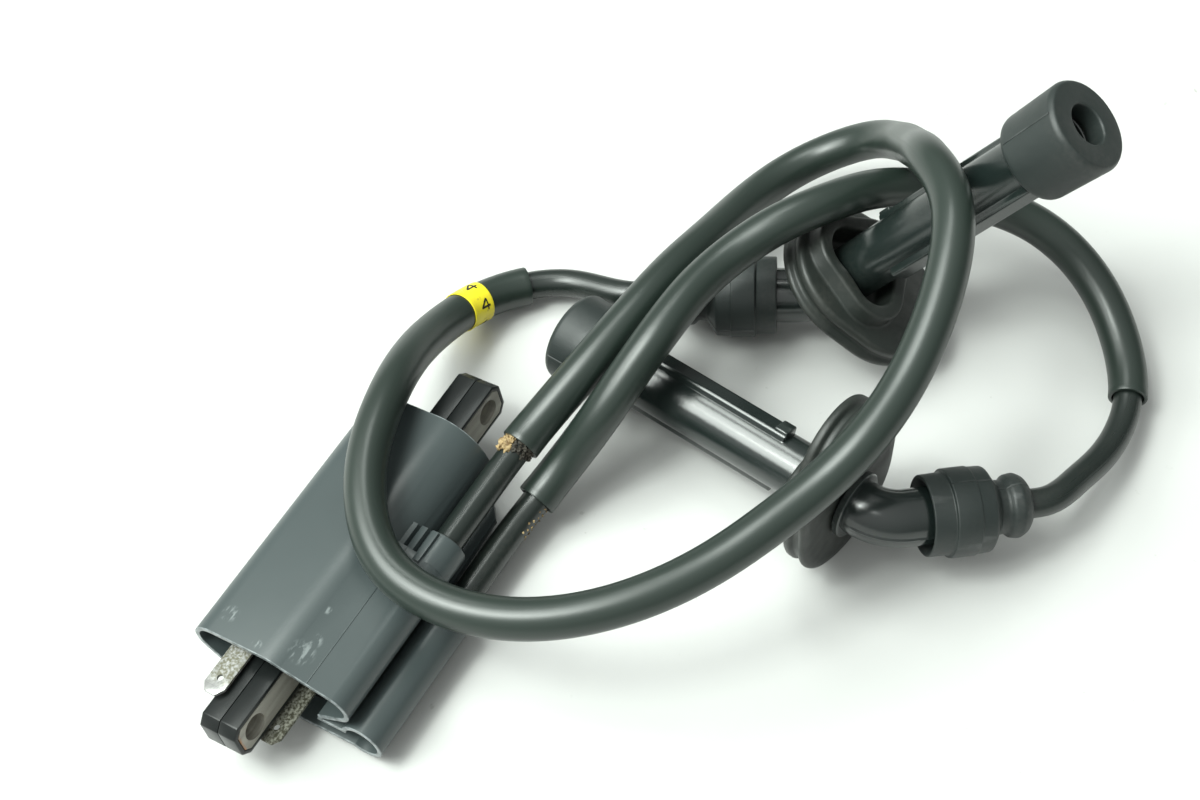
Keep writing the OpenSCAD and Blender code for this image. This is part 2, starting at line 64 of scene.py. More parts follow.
# ---- Materials ----
class Graph:
    """A material's node tree, with short calls for the nodes used here."""

    def __init__(self, name):
        self.material = bpy.data.materials.new(name)
        self.material.use_nodes = True
        self.nodes = self.material.node_tree.nodes
        self.links = self.material.node_tree.links
        self.shader = self.nodes["Principled BSDF"]
        self.place = self.nodes.new("ShaderNodeTexCoord")

    def link(self, source, target):
        """Joins an output socket to an input socket."""
        self.links.new(source, target)

    def coordinates(self, stretch=(1, 1, 1), turn=(0, 0, 0), kind="Object"):
        """Texture coordinates of a kind, stretched and turned."""
        mapping = self.nodes.new("ShaderNodeMapping")
        mapping.inputs["Scale"].default_value = stretch
        mapping.inputs["Rotation"].default_value = turn
        self.link(self.place.outputs[kind], mapping.inputs["Vector"])
        return mapping.outputs["Vector"]

    def grain(self, scale, detail=4.0, stretch=(1, 1, 1), kind="Object", turn=(0, 0, 0)):
        """Noise with a feature size of about 1 / scale metres."""
        node = self.nodes.new("ShaderNodeTexNoise")
        node.inputs["Scale"].default_value = scale
        node.inputs["Detail"].default_value = detail
        self.link(self.coordinates(stretch, turn, kind), node.inputs["Vector"])
        return node.outputs["Fac"]

    def ramp(self, factor, low, high, start=0.0, end=1.0):
        """Maps factor from low..high onto start..end, held flat outside."""
        node = self.nodes.new("ShaderNodeMapRange")
        node.inputs["From Min"].default_value = low
        node.inputs["From Max"].default_value = high
        node.inputs["To Min"].default_value = start
        node.inputs["To Max"].default_value = end
        self.link(factor, node.inputs["Value"])
        return node.outputs["Result"]

    def combine(self, first, second, operation="MULTIPLY"):
        """Two factors joined into one by an operation."""
        node = self.nodes.new("ShaderNodeMath")
        node.operation = operation
        self.link(first, node.inputs[0])
        self.link(second, node.inputs[1])
        return node.outputs["Value"]

    def mix(self, factor, first, second):
        """Colour first where factor is 0 and second where it is 1."""
        node = self.nodes.new("ShaderNodeMix")
        node.data_type = "RGBA"
        self.link(factor, node.inputs["Factor"])
        for socket, value in ((node.inputs[6], first), (node.inputs[7], second)):
            if isinstance(value, tuple):
                socket.default_value = (*value, 1.0)
            else:
                self.link(value, socket)
        return node.outputs[2]

    def along_core(self):
        """Place along the core's axis, in metres."""
        split = self.nodes.new("ShaderNodeSeparateXYZ")
        self.link(self.place.outputs["Object"], split.inputs["Vector"])
        return split.outputs["X"]

    def from_middle(self):
        """Distance from the middle of the core, along it, in metres."""
        size = self.nodes.new("ShaderNodeMath")
        size.operation = "ABSOLUTE"
        self.link(self.along_core(), size.inputs[0])
        return size.outputs["Value"]

    def spot(self, centre, radius):
        """1 near a point given in millimetres, fading to 0 at the radius."""
        node = self.nodes.new("ShaderNodeVectorMath")
        node.operation = "DISTANCE"
        self.link(self.place.outputs["Object"], node.inputs[0])
        node.inputs[1].default_value = Vector(centre) * MM
        return self.ramp(node.outputs["Value"], radius * MM * 0.5, radius * MM, 1.0, 0.0)

    def edges(self, low, high):
        """1 on convex edges, 0 elsewhere."""
        node = self.nodes.new("ShaderNodeNewGeometry")
        return self.ramp(node.outputs["Pointiness"], low, high)

    def bump(self, height, depth, below=None):
        """Fine relief, depth metres high, on top of any relief below it."""
        node = self.nodes.new("ShaderNodeBump")
        node.inputs["Strength"].default_value = 1.0
        node.inputs["Distance"].default_value = depth
        self.link(height, node.inputs["Height"])
        if below is not None:
            self.link(below, node.inputs["Normal"])
        return node.outputs["Normal"]

    def finish(self, colour, roughness, normal=None, **fixed):
        """Joins everything to the shader, sets its fixed inputs and gives back the material."""
        self.link(colour, self.shader.inputs["Base Color"])
        self.link(roughness, self.shader.inputs["Roughness"])
        if normal is not None:
            self.link(normal, self.shader.inputs["Normal"])
        for socket, value in fixed.items():
            self.shader.inputs[socket.replace("_", " ")].default_value = value
        return self.material


# Where the housing's top is scuffed: centre in millimetres and radius
SCUFF_SPOTS = [((-30.2, 18.5, 24), 2.6), ((-30.3, -1.6, 25), 3.4), ((-18.9, -0.7, 25.2), 1.2),
               ((-26.4, -2.4, 25), 2.0), ((-34, 8, 25), 1.4)]
SCUFF_COLOUR = (0.4, 0.44, 0.44)
RIM_COLOUR = (0.3, 0.33, 0.34)

# Distances along the core from its middle, in metres, over which a finish changes
HOUSING_RIM = (0.03575, 0.0359)
RUSTY_END = (-0.0524, -0.0518)
BRIGHT_TAB_BASE = (-0.0455, -0.043)
DULL_TAB_BASE = (-0.06, -0.05)


def moulded(name, dark, light, rough, dust=None, scuffs=0.0, edge=None, texture=0.00002,
            stretch=(1, 1, 1), kind="Object", specular=0.5, rim=None):
    """Moulded rubber or plastic: two mottled tones, dust, scuffs, pale edges and a fine skin."""
    graph = Graph(name)
    mottle = graph.grain(60, 3, stretch, kind)
    colour = graph.mix(graph.ramp(mottle, 0.3, 0.7), dark, light)
    if dust is not None:
        cloudy = graph.ramp(graph.grain(55, 6), 0.48, 0.72)
        patches = graph.combine(cloudy, graph.ramp(graph.grain(900, 3), 0.35, 0.7))
        colour = graph.mix(graph.ramp(patches, 0.0, 1.0, 0.0, 0.8), colour, dust)
    if scuffs > 0:
        places = graph.spot(SCUFF_SPOTS[0][0], SCUFF_SPOTS[0][1])
        for centre, radius in SCUFF_SPOTS[1:]:
            places = graph.combine(places, graph.spot(centre, radius), "MAXIMUM")
        scratches = graph.grain(1100, 4, (0.35, 1.0, 1.0), turn=(0, 0, math.radians(-35)))
        marks = graph.combine(graph.ramp(scratches, 0.5, 0.62), places)
        colour = graph.mix(graph.ramp(marks, 0, 1, 0, scuffs), colour, SCUFF_COLOUR)
    if edge is not None:
        worn_edge = graph.combine(graph.edges(0.52, 0.6), graph.ramp(graph.grain(300), 0.3, 0.6))
        colour = graph.mix(worn_edge, colour, edge)
    if rim is not None:
        # Paler colour in noisy patches on the housing's end faces, at both ends along the core
        at_rim = graph.ramp(graph.from_middle(), *rim)
        pale_rim = graph.combine(at_rim, graph.ramp(graph.grain(500), 0.3, 0.7))
        colour = graph.mix(pale_rim, colour, RIM_COLOUR)
    roughness = graph.ramp(graph.grain(160, 6, stretch, kind), 0.3, 0.7, rough[0], rough[1])
    skin = graph.bump(graph.grain(5200, 2), texture)
    skin = graph.bump(graph.grain(240, 3, stretch, kind), texture * 2.5, skin)
    return graph.finish(colour, roughness, skin, Specular_IOR_Level=specular)


def steel():
    """Bare core steel: thin sheets side by side, dull, with rust on the near end."""
    graph = Graph("core_steel")
    sheets = graph.grain(1800, 2, (0.03, 1.0, 0.03), turn=(math.radians(12), 0, 0))
    colour = graph.mix(graph.ramp(sheets, 0.35, 0.65), (0.24, 0.23, 0.2), (0.36, 0.345, 0.3))
    blotches = graph.ramp(graph.grain(160, 8), 0.58, 0.72)
    stains = graph.combine(blotches, graph.ramp(graph.grain(700, 4), 0.4, 0.7))
    colour = graph.mix(graph.ramp(stains, 0, 1, 0, 0.7), colour, (0.16, 0.1, 0.06))
    near_end = graph.ramp(graph.along_core(), *RUSTY_END, 1.0, 0.0)
    rust = graph.combine(near_end, graph.ramp(graph.grain(420, 6), 0.35, 0.6))
    colour = graph.mix(rust, colour, (0.42, 0.19, 0.08))
    roughness = graph.ramp(graph.grain(300, 5), 0.3, 0.7, 0.42, 0.6)
    relief = graph.bump(graph.grain(1500, 4), 0.00005, graph.bump(sheets, 0.00004))
    return graph.finish(colour, roughness, relief, Metallic=0.3)


def tin(name, light, crust, spread, metallic):
    """Tinned brass: brushed, with a grainy crust where it leaves the resin."""
    graph = Graph(name)
    brushed = graph.grain(900, 3, (0.08, 1.0, 1.0))
    colour = graph.mix(graph.ramp(brushed, 0.3, 0.7), tuple(0.8 * c for c in light), light)
    base = graph.ramp(graph.along_core(), *spread)
    patches = graph.combine(base, graph.ramp(graph.grain(1500, 5), 0.36, 0.6))
    colour = graph.mix(patches, colour, crust)
    roughness = graph.ramp(base, 0.0, 1.0, 0.26, 0.75)
    relief = graph.bump(graph.combine(base, graph.grain(1700, 6)), 0.0002)
    return graph.finish(colour, roughness, relief, Metallic=metallic)


def poured_resin():
    """Black potting resin, glossy and slightly wavy."""
    graph = Graph("resin")
    tone = graph.ramp(graph.grain(120), 0.3, 0.7)
    colour = graph.mix(tone, (0.008, 0.008, 0.009), (0.02, 0.02, 0.021))
    roughness = graph.ramp(graph.grain(200, 5), 0.3, 0.7, 0.08, 0.3)
    return graph.finish(colour, roughness, graph.bump(graph.grain(160, 2), 0.0005), Coat_Weight=0.4)


def tape():
    """Yellow marker tape with brown grime."""
    graph = Graph("marker_tape")
    tone = graph.ramp(graph.grain(260, 5), 0.35, 0.7)
    colour = graph.mix(tone, (0.84, 0.72, 0.02), (0.76, 0.63, 0.03))
    grime = graph.ramp(graph.grain(700, 6), 0.6, 0.74, 0.0, 0.55)
    colour = graph.mix(grime, colour, (0.25, 0.17, 0.03))
    roughness = graph.ramp(graph.grain(500), 0.3, 0.7, 0.3, 0.5)
    return graph.finish(colour, roughness, graph.bump(graph.grain(700, 3), 0.00003))


def dried_glue():
    """Golden brown dried glue, grainy."""
    graph = Graph("dried_glue")
    tone = graph.ramp(graph.grain(600, 6), 0.35, 0.65)
    colour = graph.mix(tone, (0.15, 0.09, 0.035), (0.46, 0.34, 0.17))
    roughness = graph.ramp(graph.grain(900), 0.3, 0.7, 0.4, 0.8)
    return graph.finish(colour, roughness, graph.bump(graph.grain(1500, 6), 0.0002))


def floor_finish():
    """A pale floor with faint tone changes and a few specks."""
    graph = Graph("floor")
    colour = graph.mix(graph.ramp(graph.grain(9, 4), 0.35, 0.7), (0.57, 0.57, 0.56), (0.6, 0.6, 0.59))
    dots = graph.ramp(graph.grain(260, 3), 0.7, 0.74)
    specks = graph.combine(dots, graph.ramp(graph.grain(35, 2), 0.48, 0.6))
    colour = graph.mix(graph.ramp(specks, 0, 1, 0, 0.5), colour, (0.3, 0.3, 0.27))
    roughness = graph.ramp(graph.grain(60), 0.3, 0.7, 0.38, 0.5)
    return graph.finish(colour, roughness, graph.bump(graph.grain(400, 3), 0.00003))


LOOKS = {
    "housing_plastic": moulded(
        "housing_plastic", (0.05, 0.063, 0.064), (0.054, 0.068, 0.069), (0.325, 0.335),
        scuffs=0.35, texture=0.000006, rim=HOUSING_RIM),
    "cover_plastic": moulded(
        "cover_plastic", (0.006, 0.0075, 0.0075), (0.008, 0.0098, 0.0095), (0.3, 0.34),
        texture=0.00001, specular=0.35),
    "sleeve_rubber": moulded(
        "sleeve_rubber", (0.014, 0.022, 0.0175), (0.018, 0.0275, 0.0225), (0.3, 0.36),
        stretch=(1.0, 0.12, 1.0), kind="UV", specular=0.6, texture=0.000012),
    "lead_rubber": moulded(
        "lead_rubber", (0.009, 0.0135, 0.0115), (0.013, 0.0185, 0.016), (0.25, 0.32),
        dust=(0.03, 0.032, 0.028), stretch=(1.0, 0.12, 1.0), kind="UV", specular=0.6),
    "cap_plastic": moulded(
        "cap_plastic", (0.008, 0.013, 0.012), (0.012, 0.018, 0.0165), (0.17, 0.21),
        dust=(0.024, 0.028, 0.025), edge=(0.05, 0.058, 0.055), texture=0.00001, specular=0.85),
    "boot_rubber": moulded(
        "boot_rubber", (0.014, 0.0195, 0.0185), (0.019, 0.0255, 0.024), (0.42, 0.5),
        dust=(0.035, 0.037, 0.035), edge=(0.05, 0.055, 0.054), texture=0.00004),
    "seal_rubber": moulded(
        "seal_rubber", (0.013, 0.0165, 0.0145), (0.02, 0.0245, 0.0215), (0.36, 0.5),
        dust=(0.045, 0.046, 0.04), edge=(0.05, 0.052, 0.047), texture=0.00005),
    "bobbin_plastic": moulded("bobbin_plastic", (0.5, 0.46, 0.34), (0.6, 0.56, 0.44), (0.4, 0.55)),
    "copper_wire": moulded("copper_wire", (0.35, 0.12, 0.05), (0.48, 0.2, 0.08), (0.2, 0.35),
                           texture=0.0001),
    "resistor_ceramic": moulded("resistor_ceramic", (0.55, 0.52, 0.46), (0.66, 0.63, 0.56),
                                (0.35, 0.5)),
    "core_steel": steel(),
    "tinned_brass": tin(
        "tinned_brass", (0.42, 0.42, 0.41), (0.17, 0.165, 0.12), BRIGHT_TAB_BASE, 0.6),
    "corroded_tin": tin(
        "corroded_tin", (0.3, 0.3, 0.25), (0.05, 0.048, 0.03), DULL_TAB_BASE, 0.3),
    "bright_brass": moulded("bright_brass", (0.5, 0.36, 0.14), (0.62, 0.47, 0.2), (0.25, 0.4)),
    "spring_steel": moulded("spring_steel", (0.38, 0.38, 0.38), (0.5, 0.5, 0.5), (0.25, 0.4)),
    "resin": poured_resin(),
    "marker_tape": tape(),
    "dried_glue": dried_glue(),
    "grit": moulded("grit", (0.02, 0.018, 0.014), (0.06, 0.05, 0.035), (0.6, 0.8)),
    "ink": moulded("ink", (0.01, 0.01, 0.01), (0.02, 0.02, 0.02), (0.4, 0.6)),
}

# Every CAD node starts with its own slot's finish; detailed pieces replace most of the visible ones
node_slot = {s["node"]: s["material_slot"] for s in frame["record"]["subparts"]}
for node_name, node_object in frame["nodes"].items():
    node_object.data.materials.clear()
    node_object.data.materials.append(LOOKS[node_slot[node_name]])


# ---- Mesh building, in millimetres ----
def loft(rings, closed=False, cap_start=False, cap_end=False):
    """Joins rings of equal size into a skin; closed also joins the last ring to the first."""
    count = len(rings[0])
    faces = []
    for i in range(len(rings) if closed else len(rings) - 1):
        a = i * count
        b = (i + 1) % len(rings) * count
        for k in range(count):
            n = (k + 1) % count
            faces.append((a + k, a + n, b + n, b + k))
    if cap_start:
        faces.append(tuple(range(count)))
    if cap_end:
        faces.append(tuple(range((len(rings) - 1) * count, len(rings) * count)))
    return [p for ring in rings for p in ring], faces


def piece(name, skins, look, body="coil", stands_for=(), place=None, sharp=38, uvs=None):
    """One visible object made of one or more skins, riding on a CAD body."""
    points, faces = [], []
    for skin_points, skin_faces in skins:
        base = len(points)
        points += [Vector(p) for p in skin_points]
        faces += [tuple(i + base for i in f) for f in skin_faces]
    if place is not None:
        points = [place @ p for p in points]
    mesh = bpy.data.meshes.new(name)
    mesh.from_pydata([p * MM for p in points], [], faces)
    work = bmesh.new()
    work.from_mesh(mesh)
    bmesh.ops.recalc_face_normals(work, faces=work.faces)
    if uvs is not None:
        layer = work.loops.layers.uv.new("UVMap")
        for face in work.faces:
            for corner in face.loops:
                corner[layer].uv = uvs[corner.vert.index]
    work.to_mesh(mesh)
    work.free()
    mesh.shade_smooth()
    mesh.set_sharp_from_angle(angle=math.radians(sharp))
    mesh.materials.append(LOOKS[look])
    made = bpy.data.objects.new(name, mesh)
    scene.collection.objects.link(made)
    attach(made, body)
    if stands_for:
        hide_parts(*stands_for)
    return made


def circle(radius, count=96):
    """Points evenly spaced on a circle."""
    return [(radius * math.cos(2 * math.pi * k / count), radius * math.sin(2 * math.pi * k / count))
            for k in range(count)]


def fillet(profile, radius, steps=3):
    """Rounds the corners of a closed profile."""
    out = []
    total = len(profile)
    for i, corner in enumerate(profile):
        here = Vector(corner)
        before = Vector(profile[i - 1])
        after = Vector(profile[(i + 1) % total])
        cut = min(radius, (before - here).length * 0.45, (after - here).length * 0.45)
        first = here + (before - here).normalized() * cut
        last = here + (after - here).normalized() * cut
        for s in range(steps + 1):
            t = s / steps
            out.append(tuple(first * (1 - t) ** 2 + here * 2 * t * (1 - t) + last * t ** 2))
    return out


def lathe(profile):
    """Turns a closed profile of (distance, radius) pairs about the local x axis."""
    rings = [[(x, a * r, b * r) for a, b in circle(1.0)] for x, r in profile]
    return loft(rings, closed=True)


def refined(node, bevel, steps=2):
    """A copy of a CAD node's skin, in millimetres, with its sharp edges rounded."""
    work = bmesh.new()
    work.from_mesh(frame["nodes"][node].data)
    bmesh.ops.scale(work, vec=(1 / MM, 1 / MM, 1 / MM), verts=work.verts)
    bmesh.ops.remove_doubles(work, verts=work.verts, dist=0.004)
    bmesh.ops.dissolve_limit(
        work, angle_limit=math.radians(0.6), verts=work.verts, edges=work.edges)
    sharp = [e for e in work.edges
             if len(e.link_faces) == 2 and e.calc_face_angle(0) > math.radians(32)]
    bmesh.ops.bevel(work, geom=sharp, offset=bevel, offset_type="OFFSET", segments=steps,
                    profile=0.5, affect="EDGES", clamp_overlap=True)
    bmesh.ops.triangulate(work, faces=[f for f in work.faces if len(f.verts) > 4])
    points = [v.co.copy() for v in work.verts]
    work.verts.index_update()
    faces = [tuple(v.index for v in f.verts) for f in work.faces]
    work.free()
    return points, faces


def box_skin(low, high, bevel=0.2):
    """A block with rounded edges."""
    work = bmesh.new()
    bmesh.ops.create_cube(work, size=1.0)
    size = Vector(high) - Vector(low)
    bmesh.ops.scale(work, vec=size, verts=work.verts)
    bmesh.ops.translate(work, vec=(Vector(high) + Vector(low)) / 2, verts=work.verts)
    bmesh.ops.bevel(work, geom=work.edges[:], offset=bevel, offset_type="OFFSET", segments=3,
                    profile=0.5, affect="EDGES", clamp_overlap=True)
    work.verts.index_update()
    skin = ([v.co.copy() for v in work.verts], [tuple(v.index for v in f.verts) for f in work.faces])
    work.free()
    return skin


def lump(centre, size, seed, roughness=0.35):
    """A small irregular lump."""
    work = bmesh.new()
    bmesh.ops.create_icosphere(work, subdivisions=3, radius=1.0)
    points = []
    for v in work.verts:
        wobble = 1 + roughness * noise.noise(v.co * 1.6 + Vector((seed, seed * 1.7, 0)))
        points.append(Vector(centre) + Vector([c * s * wobble for c, s in zip(v.co, size)]))
    work.verts.index_update()
    faces = [tuple(v.index for v in f.verts) for f in work.faces]
    work.free()
    return points, faces


# ---- Places: the coil body's frame and the two caps' frames ----
LEAN = math.radians(12)
BODY = Matrix.Translation((0, 5, 14.82)) @ Euler((-LEAN, 0, 0)).to_matrix().to_4x4()
# Each cap's elbow, and its turns about x, y and z in degrees
CAPS = [
    ((120, -50, 13), (93, -54, -64)),
    ((68, -95, 20.4), (192, 5.2, 83)),
]
# Each seal's turn round its stem, in degrees
SEAL_TURNS = (-101, -8)
# From the stem's line, carried on past the elbow, to the lead arm's
BEND = math.radians(50)
STEM_LEN = 92
# Where each lead tower's middle line is, as (y, z) in the body's frame
TOWER_A = (-17.2, -0.2)
TOWER_B = (-22.6, -11.8)


def cap_matrix(cap):
    """A cap's frame: its elbow at the origin and its stem along +x."""
    centre, turn = CAPS[cap]
    return Matrix.Translation(centre) @ Euler([math.radians(a) for a in turn]).to_matrix().to_4x4()


def in_body(x, spot):
    """A point x along the coil body's axis, at a (y, z) spot across it."""
    return BODY @ Vector((x, spot[0], spot[1]))


def on_arm(cap, distance):
    """A point on the middle line of a cap's lead arm, a distance from its elbow."""
    return cap_matrix(cap) @ Vector((-math.cos(BEND) * distance, math.sin(BEND) * distance, 0))


# ---- Leads and sleeves ----
LEAD_R = 3.5
SLEEVE_R = 4.85
# Points on each lead's middle line, from its tower to its cap
ROUTE_A = [in_body(x, TOWER_A) for x in (-10, 2, 15, 28)] + [Vector(p) for p in (
    (42, -12.5, 19.5), (55, -15, 24), (69, -18, 29), (83, -20, 31), (98.5, -21, 29),
    (117, -22, 23), (136.5, -23, 16), (150.5, -27, 14.5), (159.5, -34.5, 18), (162.5, -43, 24.5),
    (159, -50, 32.5), (152.5, -55, 42), (143.5, -61, 53.5), (132.5, -68, 66.5), (124, -76, 71.5),
    (114, -82.5, 73), (102, -87, 70.5), (89, -89.5, 66), (76.5, -90, 61.5), (64, -88.5, 57.5),
    (53, -85, 53), (40, -79.5, 49), (26.5, -72.5, 45), (13, -63, 42), (2, -51, 39),
    (-5, -37.5, 36), (-8, -23, 34), (-6, -9, 33), (3.5, 3.5, 33), (16, 11.5, 33),
    (30, 16.5, 31.5), (47, 21.5, 24), (64, 24, 14), (79, 22, 7.5), (89.5, 15.5, 5.5),
    (95.5, 6.5, 6),
)] + [on_arm(0, d) for d in (47, 35, 26, 14)]
ROUTE_B = [in_body(x, TOWER_B) for x in (-10, 2, 14, 25)] + [Vector(p) for p in (
    (36, -20.5, 9.5), (47, -23, 15.5), (56.5, -26.5, 25.8), (67, -28.5, 33), (77.5, -30, 37.5),
    (89.5, -31, 38.5), (103, -34, 39), (114, -40, 42.5), (126, -47.5, 43), (139, -54.5, 38.5),
    (149.5, -63.5, 32.5), (158, -75, 25.5), (163, -88, 20), (161.5, -101.5, 16), (155.5, -113, 12.5),
    (147, -122, 9.5), (136, -128.5, 8), (125.5, -130.5, 8.5), (115, -130, 10.5), (105, -128, 13.5),
)] + [on_arm(1, d) for d in (39, 35, 26, 14)]


class Line:
    """A smooth curve through a route's points, sampled evenly, with frames that don't twist."""

    def __init__(self, route, step=1.0):
        points = np.array([list(p) for p in route])
        knots = np.concatenate([[0], np.cumsum(np.linalg.norm(np.diff(points, axis=0), axis=1))])
        spans = np.diff(knots)
        count = len(points)
        system = np.eye(count)
        target = np.zeros((count, 3))
        slopes = np.diff(points, axis=0) / spans[:, None]
        for i in range(1, count - 1):
            system[i, i - 1] = spans[i - 1]
            system[i, i] = 2 * (spans[i - 1] + spans[i])
            system[i, i + 1] = spans[i]
            target[i] = 6 * (slopes[i] - slopes[i - 1])
        curve = np.linalg.solve(system, target)
        samples = []
        for i, span in enumerate(spans):
            for t in np.arange(0, 1, step / span):
                a = 1 - t
                samples.append(a * points[i] + t * points[i + 1] + span ** 2 / 6 * (
                    (a ** 3 - a) * curve[i] + (t ** 3 - t) * curve[i + 1]))
        samples.append(points[-1])
        self.points = [Vector(p) for p in samples]
        self.along = [0.0]
        for a, b in zip(self.points, self.points[1:]):
            self.along.append(self.along[-1] + (b - a).length)
        self.length = self.along[-1]
        self.knots = [self.nearest(p) for p in route]
        self.frames = []
        up = Vector((0, 0, 1))
        for i in range(len(self.points)):
            ahead = self.points[min(i + 1, len(self.points) - 1)]
            behind = self.points[max(i - 1, 0)]
            forward = (ahead - behind).normalized()
            up = (up - forward * up.dot(forward)).normalized()
            self.frames.append((forward, up, forward.cross(up)))

    def nearest(self, point):
        """Distance along the curve of the sample nearest to a point."""
        distances = [(p - Vector(point)).length for p in self.points]
        return self.along[distances.index(min(distances))]

    def at(self, distance):
        """The point and frame at a distance along the curve."""
        i = int(np.clip(np.searchsorted(self.along, distance) - 1, 0, len(self.points) - 2))
        t = (distance - self.along[i]) / max(self.along[i + 1] - self.along[i], 1e-9)
        return self.points[i].lerp(self.points[i + 1], t), self.frames[i]

    def ring(self, distance, radius, count):
        """A circle of points round the curve, at a distance along it."""
        centre, (_, up, side) = self.at(distance)
        return [centre + up * (radius * a) + side * (radius * b) for a, b in circle(1.0, count)]


PIPE_COUNT = 36


def rod(line, radius, count=32, step=1.3):
    """A solid tube along a whole line, with rounded ends."""
    stops = [(0.0, radius - 0.6), (0.3, radius - 0.15)]
    stops += [(d, radius) for d in np.linspace(0.8, line.length - 0.8, int(line.length / step))]
    stops += [(line.length - 0.3, radius - 0.15), (line.length, radius - 0.6)]
    rings = [line.ring(d, r, count) for d, r in stops]
    uvs = [(k / count * 2 * math.pi * radius * MM, d * MM) for d, _ in stops for k in range(count)]
    return loft(rings, cap_start=True, cap_end=True), uvs


def pipe(line, start, end, outer, inner, count=PIPE_COUNT, step=1.3, ripple=None):
    """A hollow tube over part of a line, with rounded lips. ripple(distance, k) varies its radius."""
    lip = min(0.35, (outer - inner) / 2.2)
    stops = [(start, outer - lip), (start + lip * 0.3, outer - lip * 0.3)]
    stops += [(d, outer) for d in np.linspace(start + lip, end - lip, int((end - start) / step))]
    stops += [(end - lip * 0.3, outer - lip * 0.3), (end, outer - lip)]
    stops += [(end, inner + lip * 0.5), (end - lip, inner)]
    inner_steps = max(2, int((end - start) / (3 * step)))
    stops += [(d, inner) for d in np.linspace(end - lip * 2, start + lip * 2, inner_steps)]
    stops += [(start + lip, inner), (start, inner + lip * 0.5)]
    rings, uvs = [], []
    for d, r in stops:
        ring = line.ring(d, r, count)
        if ripple is not None:
            centre = line.at(d)[0]
            ring = [centre + (p - centre) * ripple(d, k) for k, p in enumerate(ring)]
        rings.append(ring)
        uvs += [(k / count * 2 * math.pi * r * MM, d * MM) for k in range(count)]
    return loft(rings, closed=True), uvs


# Each sleeve starts and ends at points of its lead's route
line_a = Line(ROUTE_A)
line_b = Line(ROUTE_B)
sleeve_a_from, sleeve_a_to = line_a.knots[4], line_a.knots[38]
sleeve_b_from, sleeve_b_to = line_b.knots[4], line_b.knots[20]
SLEEVE_BORE = 3.8
# How far a sleeve's radius varies, in parts of the radius
MOUTH_FLARE = 0.03
WAVINESS = 0.008


def worn(start, seed):
    """Slight waviness of an aged sleeve, with a flared mouth at its start."""
    def ripple(distance, k):
        flare = MOUTH_FLARE * math.exp(-max(distance - start, 0) / 3)
        spot = Vector((distance * 0.05, math.cos(k / PIPE_COUNT * 2 * math.pi), seed))
        return 1 + flare + WAVINESS * noise.noise(spot)
    return ripple


skin, uvs = rod(line_a, LEAD_R)
piece("lead_a_cable", [skin], "lead_rubber", stands_for=["lead_a"], uvs=uvs)
skin, uvs = rod(line_b, LEAD_R)
piece("lead_b_cable", [skin], "lead_rubber", stands_for=["lead_b"], uvs=uvs)
skin, uvs = pipe(line_a, sleeve_a_from, sleeve_a_to, SLEEVE_R, SLEEVE_BORE,
                 ripple=worn(sleeve_a_from, 3))
piece("sleeve_a_tube", [skin], "sleeve_rubber", stands_for=["sleeve_a"],
                           uvs=uvs)
skin, uvs = pipe(line_b, sleeve_b_from, sleeve_b_to, SLEEVE_R, SLEEVE_BORE,
                 ripple=worn(sleeve_b_from, 8))
piece("sleeve_b_tube", [skin], "sleeve_rubber", stands_for=["sleeve_b"],
                           uvs=uvs)

# The marker band, with a plain cylinder number printed round it
band_middle = line_a.knots[36] + 0.7 * (line_a.knots[37] - line_a.knots[36])
BAND_R = SLEEVE_R + 0.3
BAND_HALF = 4
skin, uvs = pipe(line_a, band_middle - BAND_HALF, band_middle + BAND_HALF, BAND_R, SLEEVE_R + 0.06,
                 count=48, step=0.6)
piece("marker_band_tape", [skin], "marker_tape", stands_for=["marker_band"])

# A plain 4 as three strokes, each from one point to another, in parts of the digit's height.
# DIGIT is that height, STROKE is half a stroke's width and INK is how thick a stroke is.
FOUR = [((0.35, 0.5), (0.35, -0.5)), ((0.35, 0.5), (-0.45, -0.15)), ((-0.5, -0.15), (0.62, -0.15))]
DIGIT = 3.0
STROKE = 0.26
INK = 0.05


def stroke_skin(line, middle, angle, start, end):
    """A thin printed stroke from start to end, laid on the band's surface."""
    start = Vector(start) * DIGIT
    end = Vector(end) * DIGIT
    along = end - start
    across = Vector((-along.y, along.x)).normalized() * STROKE
    steps = 8
    rings = []
    for i in range(steps + 1):
        spot = start.lerp(end, i / steps)
        ring = []
        for side, lift in ((-1, 0.0), (-1, INK), (1, INK), (1, 0.0)):
            flat = spot + across * side
            centre, (_, up, sideways) = line.at(middle + flat.x)
            turn = angle - flat.y / BAND_R
            out = up * math.cos(turn) + sideways * math.sin(turn)
            ring.append(centre + out * (BAND_R + lift))
        rings.append(ring)
    return loft(rings, cap_start=True, cap_end=True)


DIGIT_COUNT = 5
DIGIT_TURNS = [math.radians(-43 + 360 / DIGIT_COUNT * i) for i in range(DIGIT_COUNT)]
digits = [stroke_skin(line_a, band_middle + 0.6, turn, start, end)
          for turn in DIGIT_TURNS for start, end in FOUR]
piece("marker_band_print", digits, "ink")


def scatter(line, start, step, turns, reach, size, seed):
    """Small lumps on a lead's surface, one for each turn, at uneven distances along it."""
    lumps = []
    for i, turn in enumerate(turns):
        centre, (_, up, side) = line.at(start + step * ((i * 5 + seed) % 7))
        out = up * math.cos(math.radians(turn)) + side * math.sin(math.radians(turn))
        spread = [size * (0.7 + 0.2 * ((i * k + seed) % 4)) for k in (3, 5, 7)]
        lumps.append(lump(centre + out * reach, spread, i + seed, 0.9))
    return lumps


